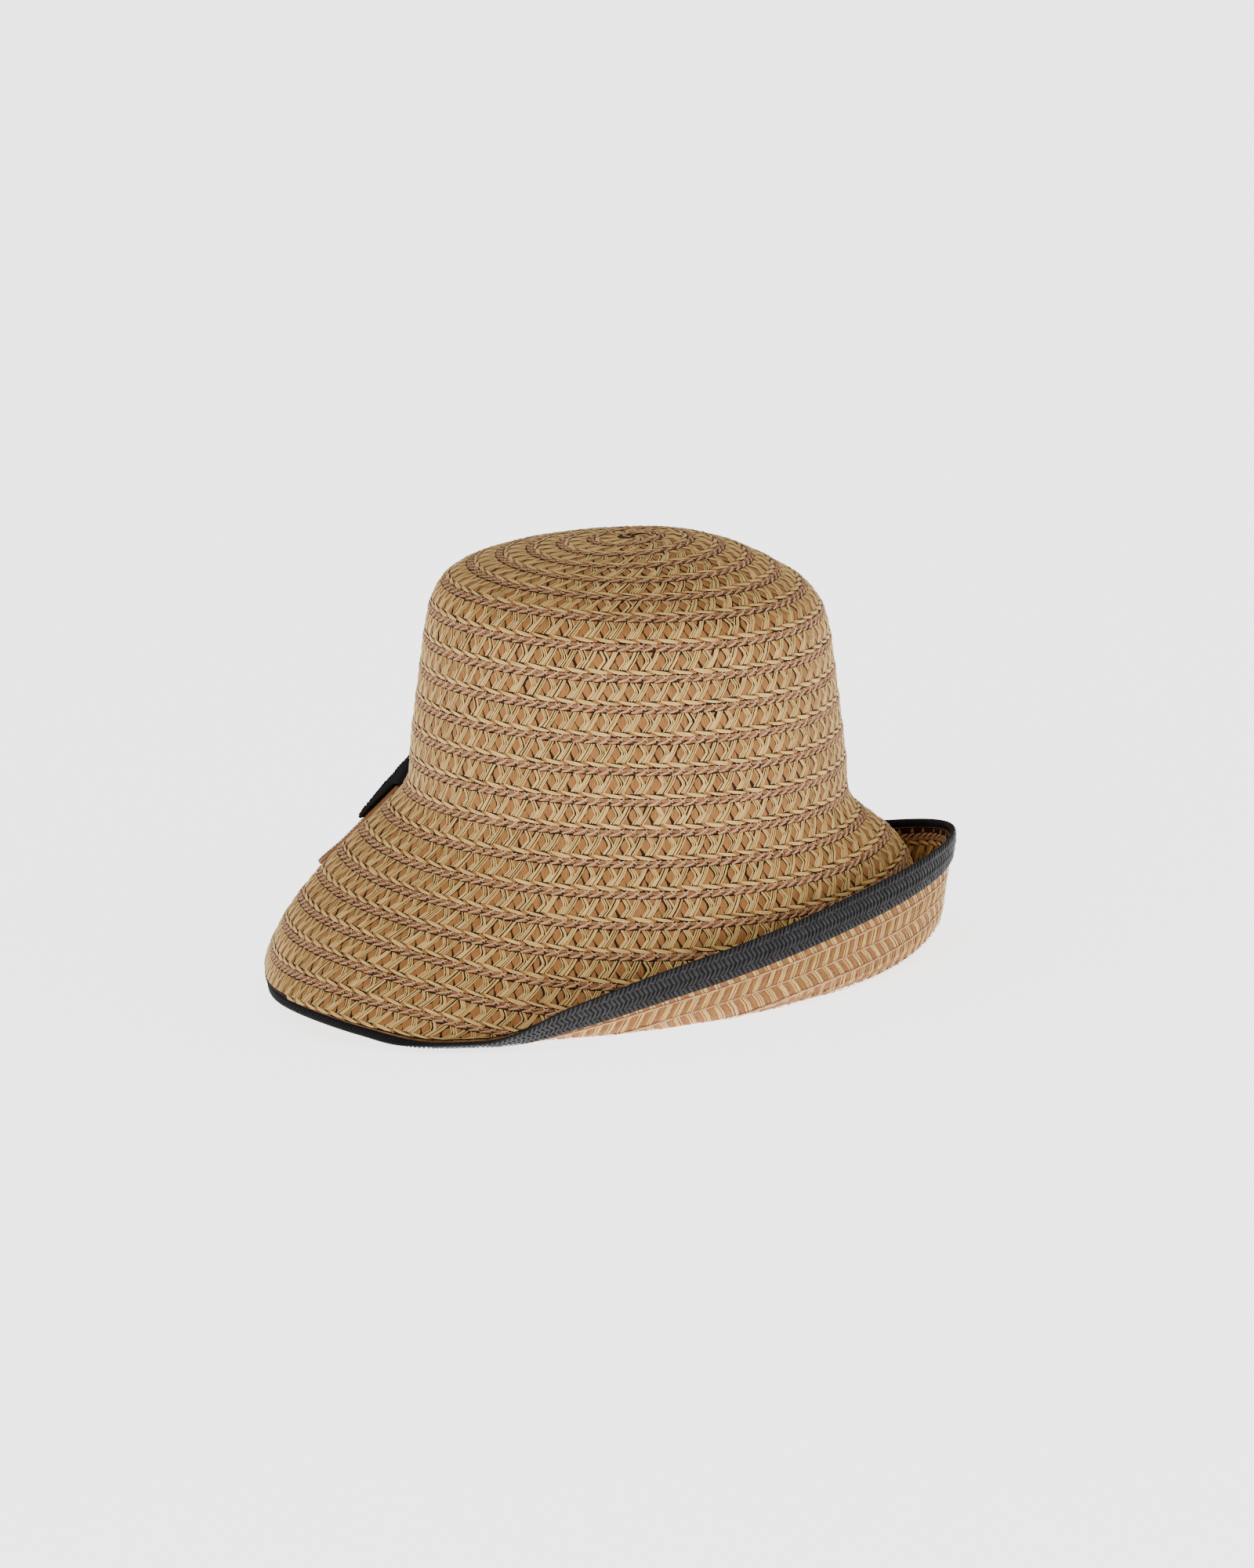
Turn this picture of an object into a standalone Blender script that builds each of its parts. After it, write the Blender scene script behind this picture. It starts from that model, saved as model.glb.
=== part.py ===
"""A sewn straw hat: a round crown, a flared brim that is folded up round the back,
a charcoal braid under the brim's edge, and a flat bow tail at the front.

The front of the hat points along -X and the wearer's left side along -Y.
The cloth is described by its slope down from level, read from two short tables.
Depths are measured along the cloth from the tip of the crown. Turns are angles
round the crown from the front, positive toward the wearer's left.
"""

import math

import bmesh
import bpy
import numpy as np
from mathutils import Matrix

MM = 0.001

# Cloth
ROW = 13.5 * MM
STRAW_WALL = 2.0 * MM
BRAID_WALL = 1.5 * MM
RIB = 0.35 * MM
SEAM_DEPTH = 85.5 * MM
PIECE_GAP = 0.35 * MM
BRAID_GAP = 0.6 * MM

# Crown and brim, along the cloth
CROWN_DEPTH = 166.0 * MM
HEAD_LINE = 172.0 * MM
EDGE_DEPTH = 290.0 * MM
STRAW_SETBACK = 3.7 * MM
STRAW_EDGE = EDGE_DEPTH - STRAW_SETBACK
BRIM_DEPTH = EDGE_DEPTH - HEAD_LINE
CORE = 0.5 * MM
FOLD_ARC = 12.0 * MM

# Charcoal braid under the edge
EDGE_BRAID_WIDTH = ROW
EDGE_BRAID_STEPS = 5

# Bow tail and the dark fold over it
BOW_TURN = -18.0
TAIL_DROP = 24.0 * MM
TAIL_FROM = CROWN_DEPTH + TAIL_DROP
TAIL_WIDTH = 21.0 * MM
WRAP_DROP = 4.5 * MM
WRAP_FROM = CROWN_DEPTH + WRAP_DROP
WRAP_WIDTH = 24.0 * MM
STRIP_COLUMNS = 3

# Bow tail, in mm: length from its start, height over the cloth of the under face
# and of the outer face
TAIL_HEIGHTS = (
    (0.0, 0.6, 2.8),
    (9.0, 0.9, 3.1),
    (18.0, 1.3, 3.5),
    (28.0, 1.3, 3.5),
    (38.0, 1.3, 3.5),
    (46.0, 1.9, 4.1),
    (50.0, 2.3, 4.4),
    (54.0, 2.7, 4.7),
)

# Dark fold, in mm, with the same columns: its outer face runs straight from the
# crown down to the tail, and its under face follows what is under it
WRAP_HEIGHTS = (
    (0.0, 0.6, 1.6),
    (3.5, 0.6, 3.8),
    (6.5, 0.6, 5.3),
    (9.5, 0.6, 6.4),
    (13.5, 0.6, 6.8),
    (17.5, 0.6, 7.0),
    (18.7, 3.3, 7.1),
    (21.5, 3.4, 7.2),
    (25.5, 3.6, 7.1),
    (29.5, 3.8, 6.8),
    (34.5, 4.0, 6.6),
    (38.5, 4.0, 6.3),
    (42.5, 4.0, 5.6),
)

# Rest on a table
REST_TILT = 4.8
FLAT_SINK = 0.5 * MM
FLOOR_SIZE = 2 * EDGE_DEPTH

# Faces
TURNS = 48
FINE_STEP = 1.0 * MM
CROWN_RING_STEP = ROW / 2
BRIM_RING_STEP = ROW / 5
FOLD_ZONE = 240.0 * MM

# Slope of the crown cloth below level, in degrees:
# depth as a share of HEAD_LINE, slope at the front, slope at the back
CROWN_SLOPES = (
    (0.00, 8.0, -5.0),
    (0.08, 5.0, -1.0),
    (0.16, 9.0, 12.0),
    (0.24, 8.0, 18.0),
    (0.33, 12.0, 26.0),
    (0.40, 19.0, 31.0),
    (0.44, 22.0, 32.0),
    (0.49, 42.0, 48.0),
    (0.54, 63.0, 66.0),
    (0.60, 79.0, 80.0),
    (0.70, 83.0, 83.0),
    (0.87, 83.0, 83.0),
    (1.00, 89.0, 89.0),
)

# Slope of the brim cloth below level, in degrees, out to the fold:
# turn, slope at 0.16 of the brim, slope at 0.5, slope at the edge,
# where the fold lies as a share of the brim, slope upward beyond the fold
BRIM_SLOPES = (
    (0.0, 42.0, 48.0, 79.0, 1.26, 20.0),
    (30.0, 58.0, 44.0, 57.0, 1.14, 20.0),
    (55.0, 67.0, 53.0, 41.0, 0.96, 9.0),
    (65.0, 71.0, 60.0, 43.0, 0.88, 12.0),
    (80.0, 75.0, 67.0, 46.0, 0.82, 59.0),
    (100.0, 74.0, 73.0, 50.0, 0.76, 88.0),
    (140.0, 68.0, 70.0, 56.0, 0.68, 101.0),
    (180.0, 33.0, 80.0, 61.0, 0.64, 82.0),
)
BRIM_KNOTS = (0.0, 0.16, 0.5, 1.0)

STRAW_COLOUR = (0.52, 0.36, 0.19, 1.0)
CHARCOAL_COLOUR = (0.03, 0.03, 0.035, 1.0)


def clear_scene():
    for obj in list(bpy.data.objects):
        bpy.data.objects.remove(obj)


def make_collection(name):
    collection = bpy.data.collections.new(name)
    bpy.context.scene.collection.children.link(collection)
    return collection


def make_material(name, colour, roughness):
    material = bpy.data.materials.new(name)
    material.use_nodes = True
    shader = material.node_tree.nodes["Principled BSDF"]
    shader.inputs["Base Color"].default_value = colour
    shader.inputs["Roughness"].default_value = roughness
    material.diffuse_color = colour
    return material


def smooth_between(x, xs, ys):
    """Values at x of a smooth curve through the knots that never overshoots them."""
    xs = np.asarray(xs, float)
    ys = np.asarray(ys, float)
    steps = np.diff(xs).reshape((-1,) + (1,) * (ys.ndim - 1))
    rises = np.diff(ys, axis=0) / steps
    before, after = rises[:-1], rises[1:]
    weight_1 = 2 * steps[1:] + steps[:-1]
    weight_2 = steps[1:] + 2 * steps[:-1]
    same_way = before * after > 0
    safe_before = np.where(same_way, before, 1.0)
    safe_after = np.where(same_way, after, 1.0)
    mean = (weight_1 + weight_2) / (weight_1 / safe_before + weight_2 / safe_after)
    slopes = np.concatenate([rises[:1], np.where(same_way, mean, 0.0), rises[-1:]])
    x = np.clip(np.asarray(x, float), xs[0], xs[-1])
    index = np.clip(np.searchsorted(xs, x, side="right") - 1, 0, len(xs) - 2)
    shape = x.shape + (1,) * (ys.ndim - 1)
    width = (xs[index + 1] - xs[index]).reshape(shape)
    t = (x - xs[index]).reshape(shape) / width
    low, high = ys[index], ys[index + 1]
    m_low, m_high = slopes[index] * width, slopes[index + 1] * width
    return (
        low * (1 + 2 * t) * (1 - t) ** 2
        + m_low * t * (1 - t) ** 2
        + high * t * t * (3 - 2 * t)
        + m_high * t * t * (t - 1)
    )


def brim_columns(turns):
    """The brim table read at any turn. The right side mirrors the left side."""
    table = np.array(BRIM_SLOPES)
    angles = table[:, 0]
    knots = np.concatenate([-angles[:0:-1], angles, 360.0 - angles[-2::-1]])
    values = np.concatenate([table[:0:-1, 1:], table[:, 1:], table[-2::-1, 1:]])
    return smooth_between(np.asarray(turns) % 360.0, knots, values)


def cloth_slopes(depths, turns):
    """Slope below level, in radians, for each depth (rows) and turn (columns)."""
    crown = np.array(CROWN_SLOPES)
    share = np.minimum(depths / HEAD_LINE, 1.0)
    front_back = smooth_between(share, crown[:, 0], crown[:, 1:])
    to_front = 0.5 + 0.5 * np.cos(np.radians(turns))[None, :]
    slopes = front_back[:, :1] * to_front + front_back[:, 1:] * (1 - to_front)
    on_brim = depths > HEAD_LINE
    columns = brim_columns(turns)
    head_slope = np.full(len(turns), CROWN_SLOPES[-1][1])
    knots = np.stack([head_slope, columns[:, 0], columns[:, 1], columns[:, 2]])
    brim_share = (depths[on_brim] - HEAD_LINE) / BRIM_DEPTH
    brim = smooth_between(brim_share, BRIM_KNOTS, knots)
    arc = FOLD_ARC / BRIM_DEPTH
    turned = np.clip((brim_share[:, None] - columns[None, :, 3]) / arc + 0.5, 0, 1)
    turned = turned * turned * (3 - 2 * turned)
    slopes[on_brim] = brim * (1 - turned) - columns[None, :, 4] * turned
    return np.radians(slopes)


def cloth_grid(turns):
    """Fine depths and the bare cloth's points there, one column for each turn."""
    count = int(round(EDGE_DEPTH / FINE_STEP)) + 1
    depths = np.linspace(0.0, EDGE_DEPTH, count)
    step = depths[1] - depths[0]
    slopes = cloth_slopes(0.5 * (depths[1:] + depths[:-1]), turns)
    start = np.zeros((1, len(turns)))
    reach = np.concatenate([start, np.cumsum(np.cos(slopes), axis=0)]) * step
    height = -np.concatenate([start, np.cumsum(np.sin(slopes), axis=0)]) * step
    angle = np.radians(turns)[None, :]
    core = CORE * np.minimum(1.0, depths / ROW)[:, None]
    points = np.stack([-(reach + core) * np.cos(angle), -reach * np.sin(angle), height])
    return depths, np.moveaxis(points, 0, 2)


def rib_offset(depths):
    """How far the cloth sinks at each seam between two rows of braid."""
    phase = 2 * math.pi * (depths - SEAM_DEPTH) / ROW
    return -RIB * (0.5 + 0.5 * np.cos(phase))


def cloth_points(ring_depths, turns, offset):
    """Points of the cloth at the ring depths, moved outward along its normal.

    turns holds one angle for each point, or one for each column.
    """
    ring_depths = np.asarray(ring_depths, float)
    turns = np.asarray(turns, float)
    if turns.ndim == 2:
        rows = [
            cloth_points(ring_depths[i : i + 1], turns[i], offset[i])
            for i in range(len(ring_depths))
        ]
        return np.concatenate(rows)
    nudge = 0.5
    depths, points = cloth_grid(turns)
    ahead = cloth_grid(turns + nudge)[1]
    behind = cloth_grid(turns - nudge)[1]
    down = np.gradient(points, depths, axis=0)
    normals = np.cross(down, ahead - behind)
    length = np.linalg.norm(normals, axis=2, keepdims=True)
    normals = normals / np.maximum(length, 1e-12)
    normals[:2] = (0.0, 0.0, 1.0)
    place = ring_depths / (depths[1] - depths[0])
    low = np.clip(place.astype(int), 0, len(depths) - 2)
    share = (place - low)[:, None, None]
    position = points[low] * (1 - share) + points[low + 1] * share
    normal = normals[low] * (1 - share) + normals[low + 1] * share
    normal /= np.linalg.norm(normal, axis=2, keepdims=True)
    return position + normal * (offset + rib_offset(ring_depths))[:, None, None]


def lean_back(points):
    """From the crown's own frame to the hat's lean on a table."""
    turn = np.array(Matrix.Rotation(math.radians(REST_TILT), 3, "Y"))
    return points @ turn.T


def grid_object(name, points, closed, tip, collection, material):
    """An open sheet of four-sided faces through a grid of points, normals outward."""
    mesh = bpy.data.meshes.new(name)
    shell = bmesh.new()
    first = 1 if tip else 0
    rows = [[shell.verts.new(p) for p in row] for row in points[first:]]
    count = len(rows[0])
    columns = count if closed else count - 1
    for upper, lower in zip(rows, rows[1:]):
        for i in range(columns):
            j = (i + 1) % count
            shell.faces.new((upper[i], lower[i], lower[j], upper[j]))
    if tip:
        centre = shell.verts.new(points[0].mean(axis=0))
        for i in range(columns):
            shell.faces.new((centre, rows[0][i], rows[0][(i + 1) % count]))
    shell.to_mesh(mesh)
    shell.free()
    obj = bpy.data.objects.new(name, mesh)
    obj.data.materials.append(material)
    collection.objects.link(obj)
    return obj


def add_wall(obj, thickness):
    wall = obj.modifiers.new("wall", "SOLIDIFY")
    wall.thickness = thickness
    wall.offset = -1.0


def ring_depths(start, end, step):
    count = max(2, int(round((end - start) / step)) + 1)
    return np.linspace(start, end, count)


def round_turns():
    return np.arange(TURNS) * 360.0 / TURNS


def make_crown(collection, material):
    depths = ring_depths(0.0, CROWN_DEPTH, CROWN_RING_STEP)
    points = cloth_points(depths, round_turns(), np.zeros(len(depths)))
    crown = grid_object("crown", lean_back(points), True, True, collection, material)
    add_wall(crown, STRAW_WALL)
    return crown


def braid_depths():
    """Rings of the edge braid. The brim uses the same ones, so that the two fit."""
    first = EDGE_DEPTH - EDGE_BRAID_WIDTH
    depths = list(ring_depths(first, EDGE_DEPTH, EDGE_BRAID_WIDTH / EDGE_BRAID_STEPS))
    depths[-2] = STRAW_EDGE
    return depths


def make_brim(collection, material):
    start = CROWN_DEPTH + PIECE_GAP
    above_fold = ring_depths(start, FOLD_ZONE, CROWN_RING_STEP)
    fold = ring_depths(FOLD_ZONE, EDGE_DEPTH - EDGE_BRAID_WIDTH, BRIM_RING_STEP)
    depths = np.concatenate([above_fold, fold[1:], braid_depths()[1:-1]])
    points = cloth_points(depths, round_turns(), np.zeros(len(depths)))
    brim = grid_object("brim", lean_back(points), True, False, collection, material)
    add_wall(brim, STRAW_WALL)
    return brim


def make_edge_braid(collection, material):
    depths = np.array(braid_depths())
    under = np.full(len(depths), -STRAW_WALL - BRAID_GAP)
    points = cloth_points(depths, round_turns(), under)
    braid = grid_object("edge_braid", lean_back(points), True, False, collection, material)
    add_wall(braid, BRAID_WALL)
    return braid


def strip_face(depths, width, taper, lifts):
    """One face of a strip that follows the cloth outward at the bow's turn."""
    middle = cloth_points(depths, np.array([BOW_TURN]), np.zeros(len(depths)))[:, 0]
    reach = np.linalg.norm(middle[:, :2], axis=1)
    half = np.degrees(0.5 * width * taper / reach)
    across = np.linspace(-1.0, 1.0, STRIP_COLUMNS)
    turns = BOW_TURN + half[:, None] * across[None, :]
    return lean_back(cloth_points(depths, turns, lifts[:, None]))


def strip_object(name, start, width, heights, taper, collection, material):
    """A closed strip between an under face and an outer face."""
    lengths, under_lifts, over_lifts = np.array(heights).T * MM
    mesh = bpy.data.meshes.new(name)
    strip = bmesh.new()
    faces = []
    for lifts in (over_lifts, under_lifts):
        points = strip_face(start + lengths, width, taper, lifts)
        rows = [[strip.verts.new(p) for p in row] for row in points]
        faces.append(rows)
        for upper, lower in zip(rows, rows[1:]):
            for i in range(STRIP_COLUMNS - 1):
                strip.faces.new((upper[i], lower[i], lower[i + 1], upper[i + 1]))
    rims = []
    for rows in faces:
        left = [row[0] for row in rows[1:-1]]
        right = [row[-1] for row in rows[1:-1]]
        rims.append(rows[0] + right + rows[-1][::-1] + left[::-1])
    over_rim, under_rim = rims
    for i in range(len(over_rim)):
        j = (i + 1) % len(over_rim)
        strip.faces.new((over_rim[i], over_rim[j], under_rim[j], under_rim[i]))
    bmesh.ops.recalc_face_normals(strip, faces=strip.faces)
    strip.to_mesh(mesh)
    strip.free()
    obj = bpy.data.objects.new(name, mesh)
    obj.data.materials.append(material)
    collection.objects.link(obj)
    return obj


def make_bow(collection, straw, charcoal):
    share = np.linspace(0.0, 1.0, len(TAIL_HEIGHTS))
    near_end = np.clip((share - 0.7) / 0.3, 0.0, 1.0)
    rounded = np.sqrt(1.0 - 0.75 * near_end**2)
    tail = strip_object(
        "bow_tail", TAIL_FROM, TAIL_WIDTH, TAIL_HEIGHTS, rounded, collection, straw
    )
    even = np.ones(len(WRAP_HEIGHTS))
    wrap = strip_object(
        "bow_wrap", WRAP_FROM, WRAP_WIDTH, WRAP_HEIGHTS, even, collection, charcoal
    )
    return [tail, wrap]


def evaluated_bounds(objects):
    bpy.context.view_layer.update()
    graph = bpy.context.evaluated_depsgraph_get()
    corners = []
    for obj in objects:
        box = obj.evaluated_get(graph).bound_box
        corners.extend(np.array(corner) for corner in box)
    corners = np.array(corners)
    return corners.min(axis=0), corners.max(axis=0)


def set_on_floor(pieces):
    """Centres the hat over the origin and sinks its lowest line by the flat's depth."""
    low, high = evaluated_bounds(pieces)
    centre = (low + high) / 2
    shift = Matrix.Translation((-centre[0], -centre[1], -low[2] - FLAT_SINK))
    for obj in pieces:
        obj.data.transform(shift)


def make_floor_cutter(collection):
    middle = (0.0, 0.0, -FLOOR_SIZE / 2)
    bpy.ops.mesh.primitive_cube_add(size=FLOOR_SIZE, location=middle)
    cutter = bpy.context.active_object
    cutter.name = "floor_cutter"
    for holder in list(cutter.users_collection):
        holder.objects.unlink(cutter)
    collection.objects.link(cutter)
    cutter.hide_render = True
    cutter.display_type = "WIRE"
    return cutter


def flatten_on_floor(objects, cutter):
    """Gives each piece that reaches the floor a true flat face to rest on."""
    for obj in objects:
        flat = obj.modifiers.new("resting flat", "BOOLEAN")
        flat.operation = "DIFFERENCE"
        flat.solver = "EXACT"
        flat.object = cutter


def main():
    clear_scene()
    parts = make_collection("straw_hat")
    cutters = make_collection("cutters")
    straw = make_material("sewn straw", STRAW_COLOUR, 0.7)
    brim_straw = make_material("sewn straw of the brim", STRAW_COLOUR, 0.7)
    tail_straw = make_material("sewn straw of the tail", STRAW_COLOUR, 0.7)
    charcoal = make_material("charcoal braid", CHARCOAL_COLOUR, 0.6)
    wrap_charcoal = make_material("charcoal braid of the bow", CHARCOAL_COLOUR, 0.6)
    crown = make_crown(parts, straw)
    brim = make_brim(parts, brim_straw)
    edge_braid = make_edge_braid(parts, charcoal)
    bow = make_bow(parts, tail_straw, wrap_charcoal)
    set_on_floor([crown, brim, edge_braid] + bow)
    flatten_on_floor([brim, edge_braid], make_floor_cutter(cutters))


main()
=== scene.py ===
"""Looks of the sewn straw hat: rows of braid on the crown and brim, the charcoal
braid under the brim's edge and the flat bow tail, on a plain pale floor.

The cloth is the part's own cloth, described by its slope along its depth. Every
strand is a thin ribbon laid on it. A strand is placed by three numbers: the length
along the spiral of braid, the distance down the row, and the height over the cloth.
"""

import math

import bpy
import numpy as np
from mathutils import Matrix, Vector


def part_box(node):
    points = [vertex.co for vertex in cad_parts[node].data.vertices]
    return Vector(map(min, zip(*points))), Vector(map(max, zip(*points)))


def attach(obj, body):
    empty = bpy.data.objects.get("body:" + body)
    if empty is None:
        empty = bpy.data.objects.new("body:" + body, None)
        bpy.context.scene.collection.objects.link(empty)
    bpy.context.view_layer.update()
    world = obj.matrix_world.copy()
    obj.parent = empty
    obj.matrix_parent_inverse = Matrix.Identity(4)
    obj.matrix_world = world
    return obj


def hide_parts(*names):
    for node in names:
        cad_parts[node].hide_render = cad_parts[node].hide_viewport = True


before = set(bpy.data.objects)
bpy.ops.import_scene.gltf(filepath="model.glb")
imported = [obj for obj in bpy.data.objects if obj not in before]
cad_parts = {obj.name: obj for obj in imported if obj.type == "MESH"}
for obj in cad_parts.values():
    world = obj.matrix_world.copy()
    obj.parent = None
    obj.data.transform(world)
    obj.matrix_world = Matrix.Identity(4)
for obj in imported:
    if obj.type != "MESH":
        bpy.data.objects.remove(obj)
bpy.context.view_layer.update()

MM = 0.001

# Cloth, as in the part
HEAD_LINE = 172.0 * MM
CROWN_DEPTH = 166.0 * MM
EDGE_DEPTH = 290.0 * MM
BRIM_DEPTH = EDGE_DEPTH - HEAD_LINE
STRAW_EDGE = EDGE_DEPTH - 3.7 * MM
STRAW_WALL = 2.0 * MM
EDGE_BRAID_WIDTH = 13.5
CORE = 0.5 * MM
CORE_DEPTH = 13.5 * MM
FOLD_ARC = 12.0 * MM
REST_TILT = 4.8

# Bow: where its tail and the dark fold over it start, and their widths
BOW_TURN = -18.0
TAIL_FROM = 190.0 * MM
TAIL_WIDTH = 21.0
WRAP_FROM = 170.5 * MM
WRAP_WIDTH = 24.0

# Bow tail, in mm: length from its start, height over the cloth of the under face
# and of the outer face
TAIL_HEIGHTS = (
    (0.0, 0.6, 2.8),
    (9.0, 0.9, 3.1),
    (18.0, 1.3, 3.5),
    (28.0, 1.3, 3.5),
    (38.0, 1.3, 3.5),
    (46.0, 1.9, 4.1),
    (50.0, 2.3, 4.4),
    (54.0, 2.7, 4.7),
)

# Dark fold, in mm, with the same columns
WRAP_HEIGHTS = (
    (0.0, 0.6, 1.6),
    (3.5, 0.6, 3.8),
    (6.5, 0.6, 5.3),
    (9.5, 0.6, 6.4),
    (13.5, 0.6, 6.8),
    (17.5, 0.6, 7.0),
    (18.7, 3.3, 7.1),
    (21.5, 3.4, 7.2),
    (25.5, 3.6, 7.1),
    (29.5, 3.8, 6.8),
    (34.5, 4.0, 6.6),
    (38.5, 4.0, 6.3),
    (42.5, 4.0, 5.6),
)

# Slope of the crown cloth below level, in degrees:
# depth as a share of HEAD_LINE, slope at the front, slope at the back
CROWN_SLOPES = (
    (0.00, 8.0, -5.0),
    (0.08, 5.0, -1.0),
    (0.16, 9.0, 12.0),
    (0.24, 8.0, 18.0),
    (0.33, 12.0, 26.0),
    (0.40, 19.0, 31.0),
    (0.44, 22.0, 32.0),
    (0.49, 42.0, 48.0),
    (0.54, 63.0, 66.0),
    (0.60, 79.0, 80.0),
    (0.70, 83.0, 83.0),
    (0.87, 83.0, 83.0),
    (1.00, 89.0, 89.0),
)

# Slope of the brim cloth below level, in degrees, out to the fold:
# turn, slope at 0.16 of the brim, slope at 0.5, slope at the edge,
# where the fold lies as a share of the brim, slope upward beyond the fold
BRIM_SLOPES = (
    (0.0, 42.0, 48.0, 79.0, 1.26, 20.0),
    (30.0, 58.0, 44.0, 57.0, 1.14, 20.0),
    (55.0, 67.0, 53.0, 41.0, 0.96, 9.0),
    (65.0, 71.0, 60.0, 43.0, 0.88, 12.0),
    (80.0, 75.0, 67.0, 46.0, 0.82, 59.0),
    (100.0, 74.0, 73.0, 50.0, 0.76, 88.0),
    (140.0, 68.0, 70.0, 56.0, 0.68, 101.0),
    (180.0, 33.0, 80.0, 61.0, 0.64, 82.0),
)
BRIM_KNOTS = (0.0, 0.16, 0.5, 1.0)

# Spiral of braid
PITCH = 13.56
ROW_TOP_AT_FRONT = 74.4
SPIRAL_START = -2460.0
SPLIT = 2160.0
SPIRAL_END = 5760.0
WEAVE_CELL = 9.3
CORD_CELL = 5.35

# Fineness of the spiral and of the ground under the strands, in degrees
WINDING_STEP = 2.0
GROUND_STEP = 3.0

# Nearest start of a strand to the crown's tip, and nearest point of one, in mm
TIP_DEPTH = 1.0
LEAST_DEPTH = 0.2

# The cloth's upright axis is taken this far below its tip, in metres
AXIS_DROP = 0.1

# Line along which the edge braid is measured: in from the edge, and under the cloth
EDGE_LINE_BACK = 6.0 * MM
EDGE_LINE_UNDER = 3.0 * MM

# Rounded end of a strip: where it starts, as a share of the length, and how far it narrows
END_FROM = 0.8
END_NARROWING = 0.75

# Strands on a strip stop this far from its end and its sides, in mm
STRIP_END_GAP = 0.2
STRIP_SIDE_GAP = 0.3

# How far strands differ from each other: along, in mm, down the row as a share of that,
# height in mm, and width as a share
WOBBLE = 0.25
DOWN_WOBBLE = 0.4
HEIGHT_WOBBLE = 0.02
WIDTH_WOBBLE = 0.12

# A strand's middle stands over its sides by a share of its half width, up to a height in mm
STRAND_ROUND = 0.55
STRAND_MOST = 0.16

# Each strand takes another place in the streaks of its material
STREAK_SPREAD = 400.0
STREAK_SLANT = 0.37


def smooth_between(x, xs, ys):
    """Values at x of a smooth curve through the knots that never overshoots them."""
    xs = np.asarray(xs, float)
    ys = np.asarray(ys, float)
    steps = np.diff(xs).reshape((-1,) + (1,) * (ys.ndim - 1))
    rises = np.diff(ys, axis=0) / steps
    before, after = rises[:-1], rises[1:]
    weight_1 = 2 * steps[1:] + steps[:-1]
    weight_2 = steps[1:] + 2 * steps[:-1]
    same_way = before * after > 0
    safe_before = np.where(same_way, before, 1.0)
    safe_after = np.where(same_way, after, 1.0)
    mean = (weight_1 + weight_2) / (weight_1 / safe_before + weight_2 / safe_after)
    slopes = np.concatenate([rises[:1], np.where(same_way, mean, 0.0), rises[-1:]])
    x = np.clip(np.asarray(x, float), xs[0], xs[-1])
    index = np.clip(np.searchsorted(xs, x, side="right") - 1, 0, len(xs) - 2)
    shape = x.shape + (1,) * (ys.ndim - 1)
    width = (xs[index + 1] - xs[index]).reshape(shape)
    t = (x - xs[index]).reshape(shape) / width
    low, high = ys[index], ys[index + 1]
    m_low, m_high = slopes[index] * width, slopes[index + 1] * width
    return (
        low * (1 + 2 * t) * (1 - t) ** 2
        + m_low * t * (1 - t) ** 2
        + high * t * t * (3 - 2 * t)
        + m_high * t * t * (t - 1)
    )


def brim_columns(turns):
    """The brim table read at any turn. The right side mirrors the left side."""
    table = np.array(BRIM_SLOPES)
    angles = table[:, 0]
    knots = np.concatenate([-angles[:0:-1], angles, 360.0 - angles[-2::-1]])
    values = np.concatenate([table[:0:-1, 1:], table[:, 1:], table[-2::-1, 1:]])
    return smooth_between(np.asarray(turns) % 360.0, knots, values)


def cloth_slopes(depths, turns):
    """Slope below level, in radians, for each depth (rows) and turn (columns)."""
    crown = np.array(CROWN_SLOPES)
    share = np.minimum(depths / HEAD_LINE, 1.0)
    front_back = smooth_between(share, crown[:, 0], crown[:, 1:])
    to_front = 0.5 + 0.5 * np.cos(np.radians(turns))[None, :]
    slopes = front_back[:, :1] * to_front + front_back[:, 1:] * (1 - to_front)
    on_brim = depths > HEAD_LINE
    columns = brim_columns(turns)
    head_slope = np.full(len(turns), CROWN_SLOPES[-1][1])
    knots = np.stack([head_slope, columns[:, 0], columns[:, 1], columns[:, 2]])
    brim_share = (depths[on_brim] - HEAD_LINE) / BRIM_DEPTH
    brim = smooth_between(brim_share, BRIM_KNOTS, knots)
    arc = FOLD_ARC / BRIM_DEPTH
    turned = np.clip((brim_share[:, None] - columns[None, :, 3]) / arc + 0.5, 0, 1)
    turned = turned * turned * (3 - 2 * turned)
    slopes[on_brim] = brim * (1 - turned) - columns[None, :, 4] * turned
    return np.radians(slopes)


def lean_back(points):
    turn = np.array(Matrix.Rotation(math.radians(REST_TILT), 3, "Y"))
    return points @ turn.T


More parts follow.
